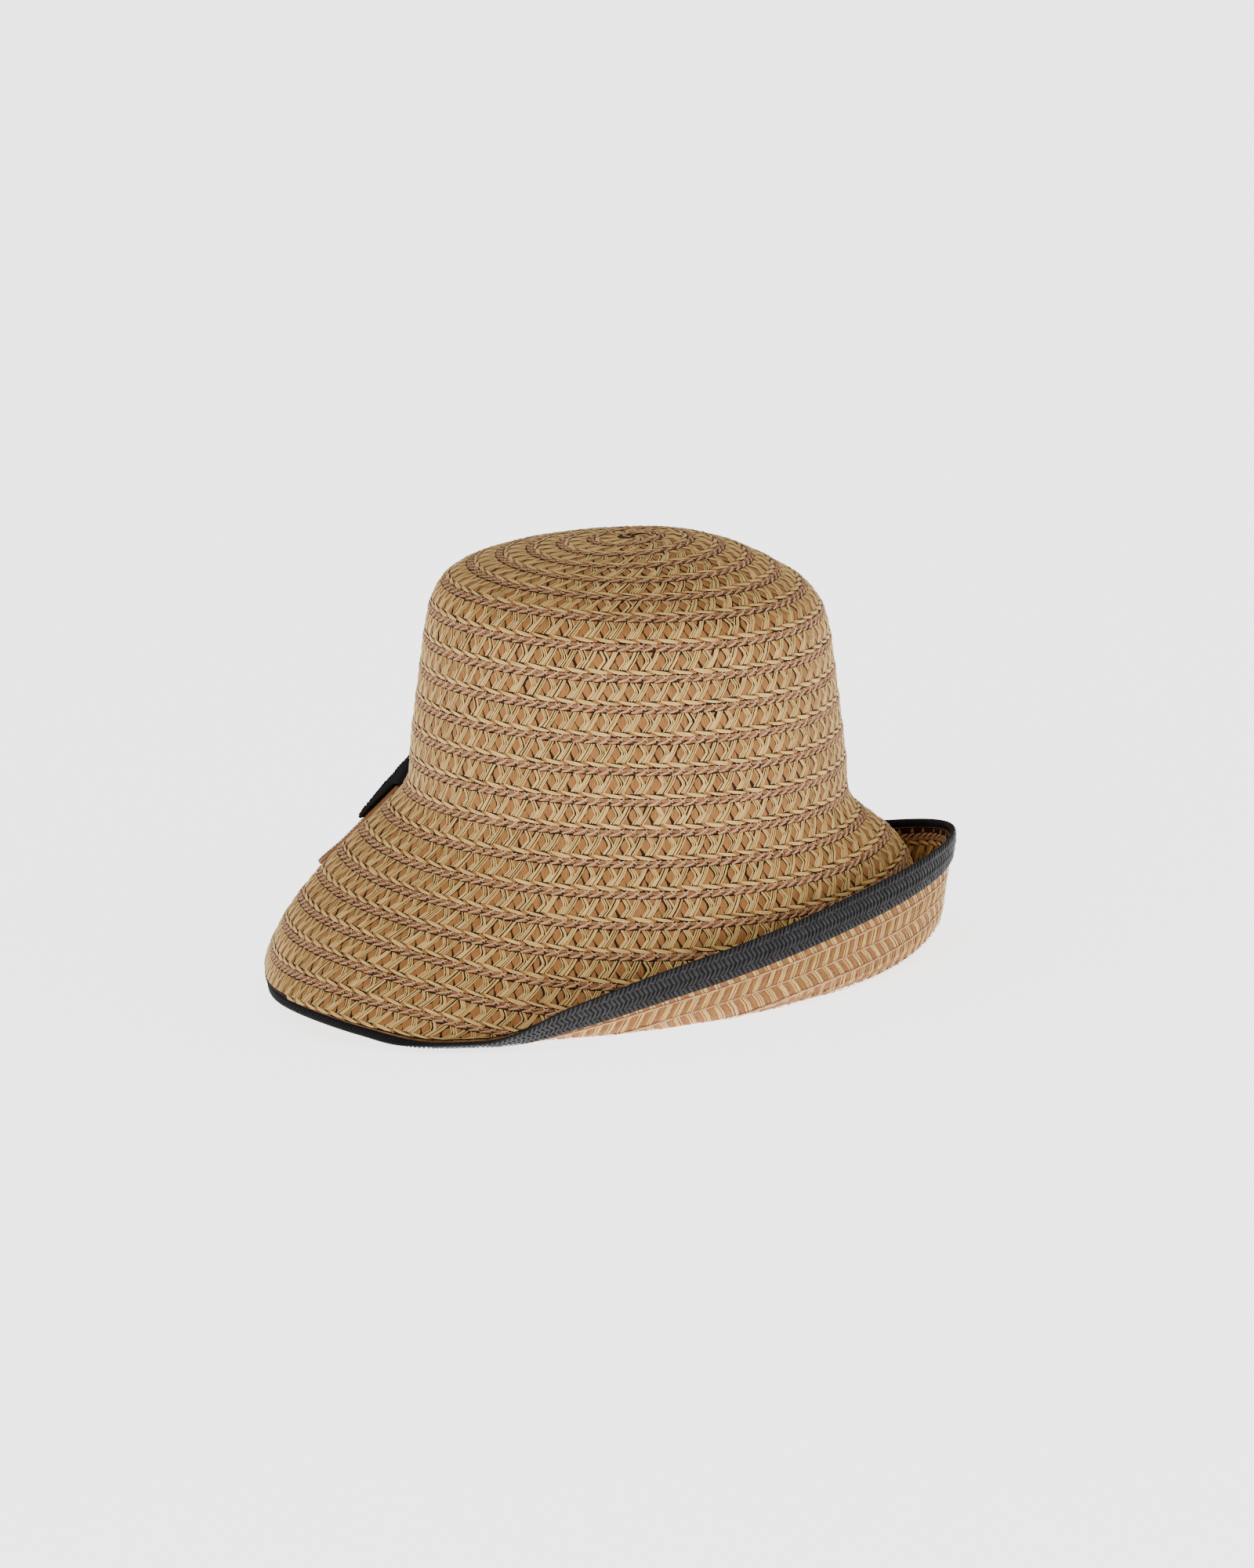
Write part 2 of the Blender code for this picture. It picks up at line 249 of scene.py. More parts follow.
class Cloth:
    """Points and outward normals of the hat's outer surface, read from a fine grid."""

    def __init__(self):
        count = int(round(EDGE_DEPTH / MM)) + 1
        self.depths = np.linspace(0.0, EDGE_DEPTH, count)
        turns = np.arange(361.0)
        step = self.depths[1]
        slopes = cloth_slopes(0.5 * (self.depths[1:] + self.depths[:-1]), turns)
        start = np.zeros((1, len(turns)))
        reach = np.concatenate([start, np.cumsum(np.cos(slopes), axis=0)]) * step
        height = -np.concatenate([start, np.cumsum(np.sin(slopes), axis=0)]) * step
        angle = np.radians(turns)[None, :]
        core = CORE * np.minimum(1.0, self.depths / CORE_DEPTH)[:, None]
        parts = [-(reach + core) * np.cos(angle), -reach * np.sin(angle), height]
        points = np.stack(parts, axis=2)
        down = np.gradient(points, axis=0)
        ring = np.concatenate([points[:, -2:-1], points, points[:, 1:2]], axis=1)
        across = ring[:, 2:] - ring[:, :-2]
        normals = np.cross(down, across)
        normals /= np.maximum(np.linalg.norm(normals, axis=2, keepdims=True), 1e-12)
        normals[:3] = (0.0, 0.0, 1.0)
        self.points = lean_back(points)
        self.normals = lean_back(normals)
        low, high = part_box("crown")
        crown = self.points[: int(round(CROWN_DEPTH / MM)) + 1].reshape(-1, 3)
        middle = (np.array(low) + np.array(high)) / 2
        self.shift = middle - (crown.min(axis=0) + crown.max(axis=0)) / 2
        self.shift[2] = high[2] - crown[:, 2].max()
        self.points += self.shift
        tilt = math.tan(math.radians(REST_TILT))
        self.axis = self.shift - np.array([AXIS_DROP * tilt, 0.0, 0.0])

    def at(self, depth, turn, height):
        """Points at these depths and heights, in metres, and turns, in degrees."""
        place = np.clip(depth / self.depths[1], 0.0, len(self.depths) - 1.001)
        row = place.astype(int)
        down = (place - row)[..., None]
        turn = turn % 360.0
        column = np.clip(turn.astype(int), 0, 359)
        side = (turn - column)[..., None]
        found = []
        for grid in (self.points, self.normals):
            upper = grid[row, column] * (1 - side) + grid[row, column + 1] * side
            lower = grid[row + 1, column] * (1 - side) + grid[row + 1, column + 1] * side
            found.append(upper * (1 - down) + lower * down)
        point, normal = found
        normal = normal / np.maximum(np.linalg.norm(normal, axis=-1, keepdims=True), 1e-9)
        return point + normal * np.asarray(height)[..., None]


class Spiral:
    """The long braid: length along it, in mm, against its winding angle, in degrees."""

    def __init__(self, cloth):
        self.cloth = cloth
        self.winding = np.arange(SPIRAL_START, SPIRAL_END, WINDING_STEP)
        middle = np.full(len(self.winding), PITCH / 2)
        depth = np.maximum(self.depth(self.winding, middle), TIP_DEPTH) * MM
        points = cloth.at(np.minimum(depth, EDGE_DEPTH), -self.winding, np.zeros(len(depth)))
        steps = np.linalg.norm(np.diff(points, axis=0), axis=1) / MM
        self.length = np.concatenate([[0.0], np.cumsum(steps)])

    def depth(self, winding, down_row):
        return ROW_TOP_AT_FRONT + PITCH * winding / 360.0 + down_row

    def winding_at(self, along):
        return np.interp(along, self.length, self.winding)

    def length_at(self, winding):
        return float(np.interp(winding, self.winding, self.length))

    def points(self, along, down_row, height):
        winding = self.winding_at(along)
        depth = np.clip(self.depth(winding, down_row), LEAST_DEPTH, STRAW_EDGE / MM)
        return self.cloth.at(depth * MM, -winding, height * MM)


class UnderSide:
    """The spiral seen from below: heights grow away from the inner face."""

    def __init__(self, spiral):
        self.spiral = spiral

    def points(self, along, down_row, height):
        return self.spiral.points(along, down_row, -STRAW_WALL / MM - height)


class EdgeRing:
    """The charcoal braid under the edge: length round it, distance down it, height."""

    def __init__(self, cloth, face):
        self.cloth = cloth
        self.face = np.array(face)
        self.angle = np.arange(0.0, 361.0)
        depth = np.full(len(self.angle), EDGE_DEPTH - EDGE_LINE_BACK)
        points = cloth.at(depth, -self.angle, np.full(len(self.angle), -EDGE_LINE_UNDER))
        steps = np.linalg.norm(np.diff(points, axis=0), axis=1) / MM
        self.length = np.concatenate([[0.0], np.cumsum(steps)])

    def points(self, along, down, height):
        turn = -np.interp(along % self.length[-1], self.length, self.angle)
        depth = EDGE_DEPTH + np.clip(down - EDGE_BRAID_WIDTH, -EDGE_BRAID_WIDTH, 0.0) * MM
        under = np.interp(down, self.face[:, 0], self.face[:, 1])
        return self.cloth.at(depth, turn, (under - height) * MM)

    def outward(self, along, down, height):
        """The same points, with heights that grow away from the crown's inside."""
        return self.points(along, down, -height)


class Strip:
    """The bow's strips: length along one, distance across it, height over one face."""

    def __init__(self, cloth, start, width, heights, rounded):
        self.cloth = cloth
        self.start = start
        self.heights = np.array(heights)
        self.long = self.heights[-1, 0]
        self.half = width / 2
        self.rounded = rounded

    def half_width(self, along):
        near_end = np.clip((along / self.long - END_FROM) / (1.0 - END_FROM), 0.0, 1.0) * self.rounded
        return self.half * np.sqrt(1.0 - END_NARROWING * near_end**2)

    def points(self, along, across, height, face=2):
        depth = self.start + along * MM
        middle = self.cloth.at(depth, np.full(depth.shape, BOW_TURN), np.zeros(depth.shape))
        reach = np.linalg.norm((middle - self.cloth.axis)[..., :2], axis=-1)
        turn = BOW_TURN + np.degrees(across * MM / reach)
        lift = np.interp(along, self.heights[:, 0], self.heights[:, face])
        return self.cloth.at(depth, turn, (lift + height) * MM)

    def inside(self, along, across, height):
        """Points on the outer face, kept inside the strip's end and sides."""
        along = np.minimum(along, self.long - STRIP_END_GAP)
        limit = self.half_width(along) - STRIP_SIDE_GAP
        return self.points(along, np.clip(across, -limit, limit), height)


class Strands:
    """Collects ribbons and sheets of faces, then makes one mesh object of them."""

    def __init__(self):
        self.vertices, self.faces, self.slots, self.uvs = [], [], [], []
        self.count = 0

    def add_grid(self, points, uvs, slot):
        """Sheets of four-sided faces: points has the shape sheets, rows, columns, 3."""
        sheets, rows, columns = points.shape[:3]
        index = np.arange(sheets * rows * columns).reshape(sheets, rows, columns)
        corners = (slice(None, -1), slice(1, None))
        order = ((0, 0), (1, 0), (1, 1), (0, 1))
        face = [index[:, corners[a], corners[b]].reshape(-1) for a, b in order]
        face_uv = [uvs[:, corners[a], corners[b]].reshape(-1, 2) for a, b in order]
        self.vertices.append(points.reshape(-1, 3))
        self.faces.append(np.stack(face, axis=1) + self.count)
        self.uvs.append(np.stack(face_uv, axis=1))
        self.slots.append(np.full(len(face[0]), slot))
        self.count += sheets * rows * columns

    def make(self, name, materials):
        vertices = np.concatenate(self.vertices)
        faces = np.concatenate(self.faces)
        mesh = bpy.data.meshes.new(name)
        mesh.vertices.add(len(vertices))
        mesh.vertices.foreach_set("co", vertices.astype(np.float32).ravel())
        mesh.loops.add(faces.size)
        mesh.loops.foreach_set("vertex_index", faces.astype(np.int32).ravel())
        mesh.polygons.add(len(faces))
        starts = np.arange(len(faces), dtype=np.int32) * 4
        mesh.polygons.foreach_set("loop_start", starts)
        mesh.polygons.foreach_set("material_index", np.concatenate(self.slots).astype(np.int32))
        layer = mesh.uv_layers.new(name="fibre")
        layer.data.foreach_set("uv", np.concatenate(self.uvs).astype(np.float32).ravel())
        mesh.update(calc_edges=True)
        mesh.validate()
        mesh.shade_smooth()
        obj = bpy.data.objects.new(name, mesh)
        bpy.context.scene.collection.objects.link(obj)
        for material in materials:
            mesh.materials.append(material)
        return obj


def add_ribbons(strands, place, starts, path, slot, random, wobble=WOBBLE, turned=False):
    """One flat strand for each start, along the same path.

    path holds a row for each point: along, down the row, height, half width, in mm.
    place turns along, down the row and height into points.
    """
    path = np.array(path)
    count = len(starts)
    along = starts[:, None] + path[None, :, 0] + random.normal(0, wobble, (count, 1))
    down = path[None, :, 1] + random.normal(0, DOWN_WOBBLE * wobble, (count, 1))
    height = path[None, :, 2] + random.normal(0, HEIGHT_WOBBLE, (count, 1))
    half = path[None, :, 3] * (1 + random.normal(0, WIDTH_WOBBLE, (count, 1)))
    ahead = np.gradient(along, axis=1)
    below = np.gradient(down, axis=1)
    size = np.maximum(np.hypot(ahead, below), 1e-6)
    side_along, side_down = -below / size, ahead / size
    crown_height = np.minimum(half * STRAND_ROUND, STRAND_MOST)
    columns = []
    for side, lift in ((-1.0, 0.0), (0.0, 1.0), (1.0, 0.0)):
        columns.append(
            (
                along + side * half * side_along,
                down + side * half * side_down,
                height + lift * crown_height,
            )
        )
    order = columns if not turned else columns[::-1]
    stacked = [np.stack([column[i] for column in order], axis=2) for i in range(3)]
    points = place(*stacked)
    length = np.cumsum(np.hypot(ahead, below), axis=1)
    offset = random.uniform(0, STREAK_SPREAD, (count, 1, 1))
    uv_along = np.broadcast_to(length[:, :, None], stacked[0].shape) + offset
    across = np.array([-1.0, 0.0, 1.0])[None, None, :] * half[:, :, None] + offset * STREAK_SLANT
    uvs = np.stack([uv_along, np.broadcast_to(across, uv_along.shape)], axis=3)
    strands.add_grid(points, uvs, slot)


def make_material(name, colour, dark, roughness, fibre=1.0, bump=0.25):
    """Straw or thread: colour streaks and fine ridges along the strand."""
    material = bpy.data.materials.new(name)
    material.use_nodes = True
    tree = material.node_tree
    nodes, links = tree.nodes, tree.links
    shader = nodes["Principled BSDF"]
    shader.inputs["Roughness"].default_value = roughness
    shader.inputs["Specular IOR Level"].default_value = 0.2
    uv = nodes.new("ShaderNodeUVMap")
    uv.uv_map = "fibre"
    stretch = nodes.new("ShaderNodeMapping")
    stretch.inputs["Scale"].default_value = (0.12 * fibre, 2.2 * fibre, 1.0)
    links.new(uv.outputs["UV"], stretch.inputs["Vector"])
    streaks = nodes.new("ShaderNodeTexNoise")
    streaks.inputs["Scale"].default_value = 1.0
    streaks.inputs["Detail"].default_value = 4.0
    links.new(stretch.outputs["Vector"], streaks.inputs["Vector"])
    ramp = nodes.new("ShaderNodeValToRGB")
    ramp.color_ramp.elements[0].position = 0.32
    ramp.color_ramp.elements[0].color = dark
    ramp.color_ramp.elements[1].position = 0.62
    ramp.color_ramp.elements[1].color = colour
    links.new(streaks.outputs["Fac"], ramp.inputs["Fac"])
    links.new(ramp.outputs["Color"], shader.inputs["Base Color"])
    ridges = nodes.new("ShaderNodeBump")
    ridges.inputs["Strength"].default_value = bump
    ridges.inputs["Distance"].default_value = 0.0002
    links.new(streaks.outputs["Fac"], ridges.inputs["Height"])
    links.new(ridges.outputs["Normal"], shader.inputs["Normal"])
    return material


MATERIALS = [
    # Near black ground under the strands: painted shade for the gaps between strands and the seams between
    # rows
    make_material("painted shade in gaps", (0.030, 0.012, 0.004, 1), (0.010, 0.004, 0.001, 1), 0.9),
    make_material("cream straw", (0.66, 0.435, 0.15, 1), (0.38, 0.21, 0.06, 1), 0.6),
    make_material("tan straw", (0.30, 0.130, 0.034, 1), (0.18, 0.070, 0.016, 1), 0.62),
    make_material("pink thread", (0.58, 0.33, 0.165, 1), (0.36, 0.18, 0.08, 1), 0.75),
    make_material("pink brown straw", (0.29, 0.135, 0.058, 1), (0.13, 0.055, 0.022, 1), 0.75),
    # Darker than the charcoal strand below: on the edge braid's body it is partly the braid's own colour,
    # partly painted shade between its strands
    make_material("charcoal straw", (0.006, 0.006, 0.007, 1), (0.002, 0.002, 0.002, 1), 0.8),
    make_material("inside straw", (0.42, 0.21, 0.07, 1), (0.22, 0.09, 0.025, 1), 0.75),
    make_material("charcoal strand", (0.026, 0.026, 0.029, 1), (0.006, 0.006, 0.007, 1), 0.5),
]
SHADE_IN_GAPS, CREAM, TAN, PINK, BROWN, CHARCOAL, INSIDE, CHARCOAL_STRAND = range(8)

# Strands of one cell of the open weave, 9.3 mm long.
# Each point, in mm: along, down the row, height, half width
DIAMOND = ((3.3, 1.0, 0.0, 0.3), (3.5, 2.6, 0.1, 1.6), (3.4, 4.4, 0.1, 1.95), (3.1, 6.9, 0.0, 0.5))
LOWER_PATCH = ((5.7, 4.8, -0.05, 0.2), (5.9, 6.4, 0.05, 1.15), (5.9, 7.9, -0.05, 1.6))
UPPER_PATCH = ((8.4, 0.1, -0.05, 1.5), (8.4, 1.2, 0.0, 1.0), (8.4, 2.4, -0.1, 0.2))
STRAIGHT = ((4.1, 0.0, 0.05, 0.3), (5.9, 3.9, 0.3, 0.31), (8.3, 7.8, 0.0, 0.3))
BENT = ((0.9, 0.0, 0.05, 0.3), (-0.8, 2.8, 0.36, 0.31), (-1.0, 4.3, 0.34, 0.31), (1.5, 7.8, 0.0, 0.3))
STRAND_STEP = 1.0
STRANDS_EACH = 3
ROPE = ((-1.3, 9.6, 0.05, 0.3), (1.6, 9.3, 0.35, 0.75), (5.2, 8.8, 0.42, 0.8), (8.4, 7.9, 0.1, 0.3))
ROPE_LEAF = ((6.5, 9.6, 0.05, 0.4), (8.0, 8.9, 0.2, 0.85), (9.9, 8.0, 0.0, 0.3))

# Strands of one cell of the sewn cord, 5.35 mm long, with the same columns
LUMP = ((0.3, 11.0, 0.15, 0.5), (2.5, 11.0, 0.45, 0.85), (4.7, 11.0, 0.15, 0.5))
LOWER_LUMP = ((0.0, 12.1, 0.15, 0.5), (2.4, 12.5, 0.4, 0.72), (5.0, 12.9, 0.1, 0.4))
CROSS_DOWN = ((-1.2, 10.1, 0.25, 0.25), (0.1, 11.0, 0.55, 0.36), (1.5, 12.0, 0.35, 0.28))
CROSS_UP = ((-1.0, 11.8, 0.3, 0.22), (0.1, 11.0, 0.55, 0.3), (1.3, 10.1, 0.25, 0.22))
STITCH = ((0.9, 11.8, 0.35, 0.28), (2.7, 12.5, 0.6, 0.42), (4.8, 13.3, 0.1, 0.22))

# The weave stops short of the straw's edge, and the under weave laps the charcoal braid, in mm
WEAVE_END_GAP = 0.6
UNDER_LAP = 2.0

# Strands of one cell of the under side, 6.2 mm long, with the same columns
UNDER_CELL = 6.2
UNDER_RISE = ((-0.6, 0.4, 0.1, 0.3), (1.0, 3.4, 0.4, 0.34), (3.0, 6.3, 0.1, 0.3))
UNDER_FALL = ((3.0, 7.1, 0.1, 0.3), (1.2, 10.2, 0.4, 0.34), (-0.6, 13.1, 0.1, 0.3))
UNDER_PATCH_RISE = ((3.1, 0.5, 0.0, 0.6), (4.6, 3.4, 0.25, 1.0), (6.5, 6.3, 0.0, 0.6))
UNDER_PATCH_FALL = ((6.5, 7.2, 0.0, 0.6), (4.7, 10.2, 0.25, 1.0), (3.1, 13.0, 0.0, 0.6))
UNDER_STRAND_STEP = 1.0
UNDER_STRANDS_EACH = 3
UNDER_THREAD_CELL = 4.15
UNDER_THREAD = ((-0.3, 6.6, 0.4, 0.2), (2.0, 6.8, 0.62, 0.3), (4.4, 6.6, 0.4, 0.2))
UNDER_SEAM = ((-0.3, 13.3, 0.4, 0.28), (2.0, 13.5, 0.7, 0.4), (4.4, 13.3, 0.4, 0.28))

# Strands of the charcoal braid, 2.2 mm apart, with the same columns
EDGE_CELL = 2.2
EDGE_STRANDS = (
    ((0.0, 0.2, 0.0, 0.45), (1.2, 1.9, 0.5, 0.6), (2.2, 3.6, 0.0, 0.45)),
    ((2.2, 3.3, 0.0, 0.45), (1.0, 5.1, 0.5, 0.6), (0.0, 6.9, 0.0, 0.45)),
    ((0.0, 6.6, 0.0, 0.45), (1.2, 8.4, 0.5, 0.6), (2.2, 10.2, 0.0, 0.45)),
    ((2.2, 9.9, 0.0, 0.45), (1.0, 11.7, 0.5, 0.6), (0.0, 13.4, 0.0, 0.45)),
)
EDGE_STITCH_CELL = 3.8
EDGE_STITCH_ROWS = (2.7, 10.8)
EDGE_STITCH = ((0.0, 0.0, 0.2, 0.05), (1.0, 0.0, 0.4, 0.07), (1.9, 0.1, 0.2, 0.05))
RIM_STRAND = ((0.0, 10.4, 0.1, 0.5), (1.1, 11.8, 0.35, 0.75), (2.0, 13.3, 0.0, 0.6))

# Under face of the charcoal braid, and its outer face past the straw's edge, in mm:
# distance down the braid, height over the cloth
EDGE_UNDER = ((0.0, -3.1), (4.0, -3.4), (9.8, -3.4), (13.5, -2.7))
EDGE_OUTER = ((0.0, 2.0), (9.8, 1.7), (11.0, 1.3), (13.5, 1.9))

# Height of the cloth under the strands, in mm: down the row, height
ROW_PROFILE = (
    (0.0, -0.85),
    (0.6, -0.5),
    (4.0, -0.28),
    (7.6, -0.4),
    (8.2, -0.1),
    (9.2, 0.05),
    (9.95, -0.45),
    (10.4, 0.0),
    (11.6, 0.22),
    (12.9, 0.1),
    (13.4, -0.5),
)


# Plain inner face: its fineness, where its lower wall ends under the outer face,
# and the head's half width in mm, which sets the size of the streaks
INSIDE_DEPTH_STEP = 3.0 * MM
INSIDE_TURN_STEP = 3.0
LOWER_EDGE_DROP = 0.3 * MM
HEAD_RADIUS = 95.0

# Sides of a strip's body: share of the half width, and how far the face drops there, in mm
STRIP_SIDES = (
    (-1.0, 0.48),
    (-0.94, 0.18),
    (-0.8, 0.03),
    (-0.4, 0.0),
    (0.0, 0.0),
    (0.4, 0.0),
    (0.8, 0.03),
    (0.94, 0.18),
    (1.0, 0.48),
)
STRIP_STREAK_WIDTH = 50.0

# Strands on the bow: distance between them and width of a lane, in mm. Their half width is
# a share of the distance, their ends lie low and their middles high
TAIL_CELL = 1.9
WRAP_CELL = 2.2
BRAID_LANE = 3.4
BRAID_HALF_WIDTH = 0.42
BRAID_LOW = -0.1
BRAID_HIGH = 0.25
BRAID_START = 0.3
BRAID_WOBBLE = 0.1
EDGE_WOBBLE = 0.12


def add_cloth_rows(strands, spiral, start, end):
    """The plain ground under the strands, one strip for each step along the spiral, near black: painted
    shade for the gaps between strands and the seams between rows.
    """
    winding = np.linspace(start, end, int((end - start) / GROUND_STEP) + 1)
    profile = np.array(ROW_PROFILE)
    across = np.append(profile[:, 0], PITCH)
    heights = np.append(profile[:, 1], profile[0, 1])
    grid_winding, grid_across = np.meshgrid(winding, across, indexing="ij")
    grid_height = np.broadcast_to(heights[None, :], grid_winding.shape)
    depth = np.clip(spiral.depth(grid_winding, grid_across), 0.0, STRAW_EDGE / MM)
    points = spiral.cloth.at(depth * MM, -grid_winding, grid_height * MM)
    along = np.interp(grid_winding, spiral.winding, spiral.length)
    uvs = np.stack([along, grid_across], axis=2)
    strands.add_grid(points[None], uvs[None], SHADE_IN_GAPS)


def starts_within(spiral, start, end, cell, down, last_depth):
    """Starts of the cells between two windings, without those past the edge or the tip."""
    first, last = spiral.length_at(start), spiral.length_at(end)
    starts = np.arange(first, last - cell / 2, cell)
    depth = spiral.depth(spiral.winding_at(starts), down)
    return starts[(depth > TIP_DEPTH) & (depth < last_depth)]


def add_weave(strands, spiral, start, end, random):
    """Every strand of the braid's outer side between two winding angles."""
    last_depth = STRAW_EDGE / MM - WEAVE_END_GAP

    def lay(path, cell, slot, wobble=WOBBLE):
        middle = path[len(path) // 2][1]
        starts = starts_within(spiral, start, end, cell, middle, last_depth)
        add_ribbons(strands, spiral.points, starts, path, slot, random, wobble)

    for path in (DIAMOND, LOWER_PATCH, UPPER_PATCH):
        lay(path, WEAVE_CELL, TAN)
    for path in (STRAIGHT, BENT):
        for strand in range(STRANDS_EACH):
            moved = np.array(path) + (STRAND_STEP * strand, 0.0, 0.0, 0.0)
            lay(moved, WEAVE_CELL, CREAM, 0.15)
    lay(ROPE_LEAF, WEAVE_CELL, TAN)
    lay(ROPE, WEAVE_CELL, CREAM)
    lay(LUMP, CORD_CELL, BROWN)
    lay(LOWER_LUMP, CORD_CELL, BROWN)
    for path in (CROSS_DOWN, CROSS_UP, STITCH):
        lay(path, CORD_CELL, PINK, 0.2)


def add_under_weave(strands, spiral, start, end, random):
    """The simpler weave that shows on the brim's under side."""
    last_depth = EDGE_DEPTH / MM - EDGE_BRAID_WIDTH + UNDER_LAP
    place = UnderSide(spiral).points

    def lay(path, cell, slot, wobble=0.2):
        middle = path[len(path) // 2][1]
        starts = starts_within(spiral, start, end, cell, middle, last_depth)
        add_ribbons(strands, place, starts, path, slot, random, wobble, turned=True)

    for path in (UNDER_RISE, UNDER_FALL):
        for strand in range(UNDER_STRANDS_EACH):
            moved = np.array(path) + (UNDER_STRAND_STEP * strand, 0.0, 0.0, 0.0)
            lay(moved, UNDER_CELL, CREAM)
    for path in (UNDER_PATCH_RISE, UNDER_PATCH_FALL):
        lay(path, UNDER_CELL, TAN)
    for path in (UNDER_THREAD, UNDER_SEAM):
        lay(path, UNDER_THREAD_CELL, PINK, 0.1)


def add_inside(strands, cloth, start, end, slot):
    """The plain inner face, and the narrow wall that closes the lower edge."""
    depths = np.linspace(start, end, int((end - start) / INSIDE_DEPTH_STEP) + 2)
    turns = np.arange(0.0, 361.0, INSIDE_TURN_STEP)
    depths = np.append(depths, end)
    grid_depth, grid_turn = np.meshgrid(depths, turns, indexing="ij")
    height = np.full(grid_depth.shape, -STRAW_WALL)
    height[-1] = -LOWER_EDGE_DROP
    points = cloth.at(grid_depth, grid_turn, height)
    uvs = np.stack([HEAD_RADIUS * np.radians(grid_turn), grid_depth / MM], axis=2)
    strands.add_grid(points[None, :, ::-1], uvs[None, :, ::-1], slot)


def make_straw(name, spiral, start, end, inside_from, inside_to, seed, with_under):
    strands = Strands()
    random = np.random.default_rng(seed)
    add_cloth_rows(strands, spiral, start, end)
    add_weave(strands, spiral, start, end, random)
    if with_under:
        add_under_weave(strands, spiral, start, end, random)
    # On the brim the plain inner face, its under side, takes the darker pink brown straw: partly its own
    # pinker tone, partly painted shade on the side turned down
    add_inside(strands, spiral.cloth, inside_from, inside_to, BROWN if with_under else INSIDE)
    return strands.make(name, MATERIALS)


def make_edge_braid(cloth, seed):
    """A flat charcoal band, its herringbone strands and two lines of stitches."""
    strands = Strands()
    random = np.random.default_rng(seed)
    under = EdgeRing(cloth, EDGE_UNDER)
    outer = EdgeRing(cloth, [(down, -height) for down, height in EDGE_OUTER])
    down = np.linspace(0.0, EDGE_BRAID_WIDTH, 10)
    along = np.linspace(0.0, under.length[-1] - 0.01, 361)
    grid_along, grid_down = np.meshgrid(along, down, indexing="ij")
    flat = np.zeros(grid_along.shape)
    under_points = under.points(grid_along, grid_down, flat)
    outer_points = outer.points(grid_along, grid_down, flat)
    around = np.concatenate([outer_points, under_points[:, ::-1], outer_points[:, :1]], axis=1)
    down_around = np.concatenate([grid_down, grid_down[:, ::-1], grid_down[:, :1]], axis=1)
    along_around = np.broadcast_to(along[:, None], down_around.shape)
    uvs = np.stack([along_around, down_around], axis=2)
    # The band's body is darker than its strands: partly the braid's own charcoal, partly painted shade
    # where it shows between them
    strands.add_grid(around[None], uvs[None], CHARCOAL)
    starts = np.arange(0.0, under.length[-1] - 1.0, EDGE_CELL)
    for path in EDGE_STRANDS:
        add_ribbons(strands, under.points, starts, path, CHARCOAL_STRAND, random, EDGE_WOBBLE, turned=True)
    add_ribbons(strands, outer.outward, starts, RIM_STRAND, CHARCOAL, random, EDGE_WOBBLE)
    starts = np.arange(0.0, under.length[-1] - 2.0, EDGE_STITCH_CELL)
    for row in EDGE_STITCH_ROWS:
        path = np.array(EDGE_STITCH) + (0.0, row, 0.0, 0.0)
        add_ribbons(strands, under.points, starts, path, BROWN, random, EDGE_WOBBLE, turned=True)
    return strands.make("edge_braid_look", MATERIALS)


def add_strip_body(strands, strip, slot):
    """The closed body of a strip with softened sides."""
    along = np.linspace(0.0, strip.long, int(strip.long) + 1)
    shares, drops = np.array(STRIP_SIDES).T
    half = strip.half_width(along)[:, None]
    across = half * shares[None, :]
    grid_along = np.broadcast_to(along[:, None], across.shape)
    drop = np.broadcast_to(drops[None, :], across.shape)
    over = strip.points(grid_along, across, -drop)
    under = strip.points(grid_along, across, drop, face=1)
    around = np.concatenate([over, under[:, ::-1], over[:, :1]], axis=1)
    first, last = around[:1].mean(axis=1), around[-1:].mean(axis=1)
    caps = [np.repeat(end[:, None], around.shape[1], axis=1) for end in (first, last)]
    around = np.concatenate([caps[0], around, caps[1]], axis=0)
    across_around = np.linspace(0.0, STRIP_STREAK_WIDTH, around.shape[1])
    along_around = np.concatenate([[0.0], along, [strip.long]])
    uvs = np.stack(np.meshgrid(along_around, across_around, indexing="ij"), axis=2)
    strands.add_grid(around[None, :, ::-1], uvs[None, :, ::-1], slot)


def add_strip_braid(strands, strip, slots, cell, random):
    """Slanted strands in lanes along a strip, each lane slanted against the next."""
    starts = np.arange(BRAID_START, strip.long - cell, cell)
    lanes = int(2 * strip.half / BRAID_LANE)
    for number in range(lanes):
        low = -strip.half + number * 2 * strip.half / lanes
        high = low + 2 * strip.half / lanes
        ends = (low, high) if number % 2 else (high, low)
        half_width = BRAID_HALF_WIDTH * cell
        path = (
            (0.0, ends[0], BRAID_LOW, half_width),
            (0.5 * BRAID_LANE, (low + high) / 2, BRAID_HIGH, half_width),
            (BRAID_LANE, ends[1], BRAID_LOW, half_width),
        )
        slot = slots[number % len(slots)]
        add_ribbons(strands, strip.inside, starts, path, slot, random, BRAID_WOBBLE)


def make_tail(cloth, seed):
    strands = Strands()
    strip = Strip(cloth, TAIL_FROM, TAIL_WIDTH, TAIL_HEIGHTS, 1.0)
    add_strip_body(strands, strip, BROWN)
    slots = (CREAM, TAN, BROWN, PINK)
    add_strip_braid(strands, strip, slots, TAIL_CELL, np.random.default_rng(seed))
    return strands.make("bow_tail_look", MATERIALS)


def make_wrap(cloth, seed):
    strands = Strands()
    strip = Strip(cloth, WRAP_FROM, WRAP_WIDTH, WRAP_HEIGHTS, 0.0)
    add_strip_body(strands, strip, CHARCOAL)
    add_strip_braid(strands, strip, (CHARCOAL,), WRAP_CELL, np.random.default_rng(seed))
    return strands.make("bow_wrap_look", MATERIALS)


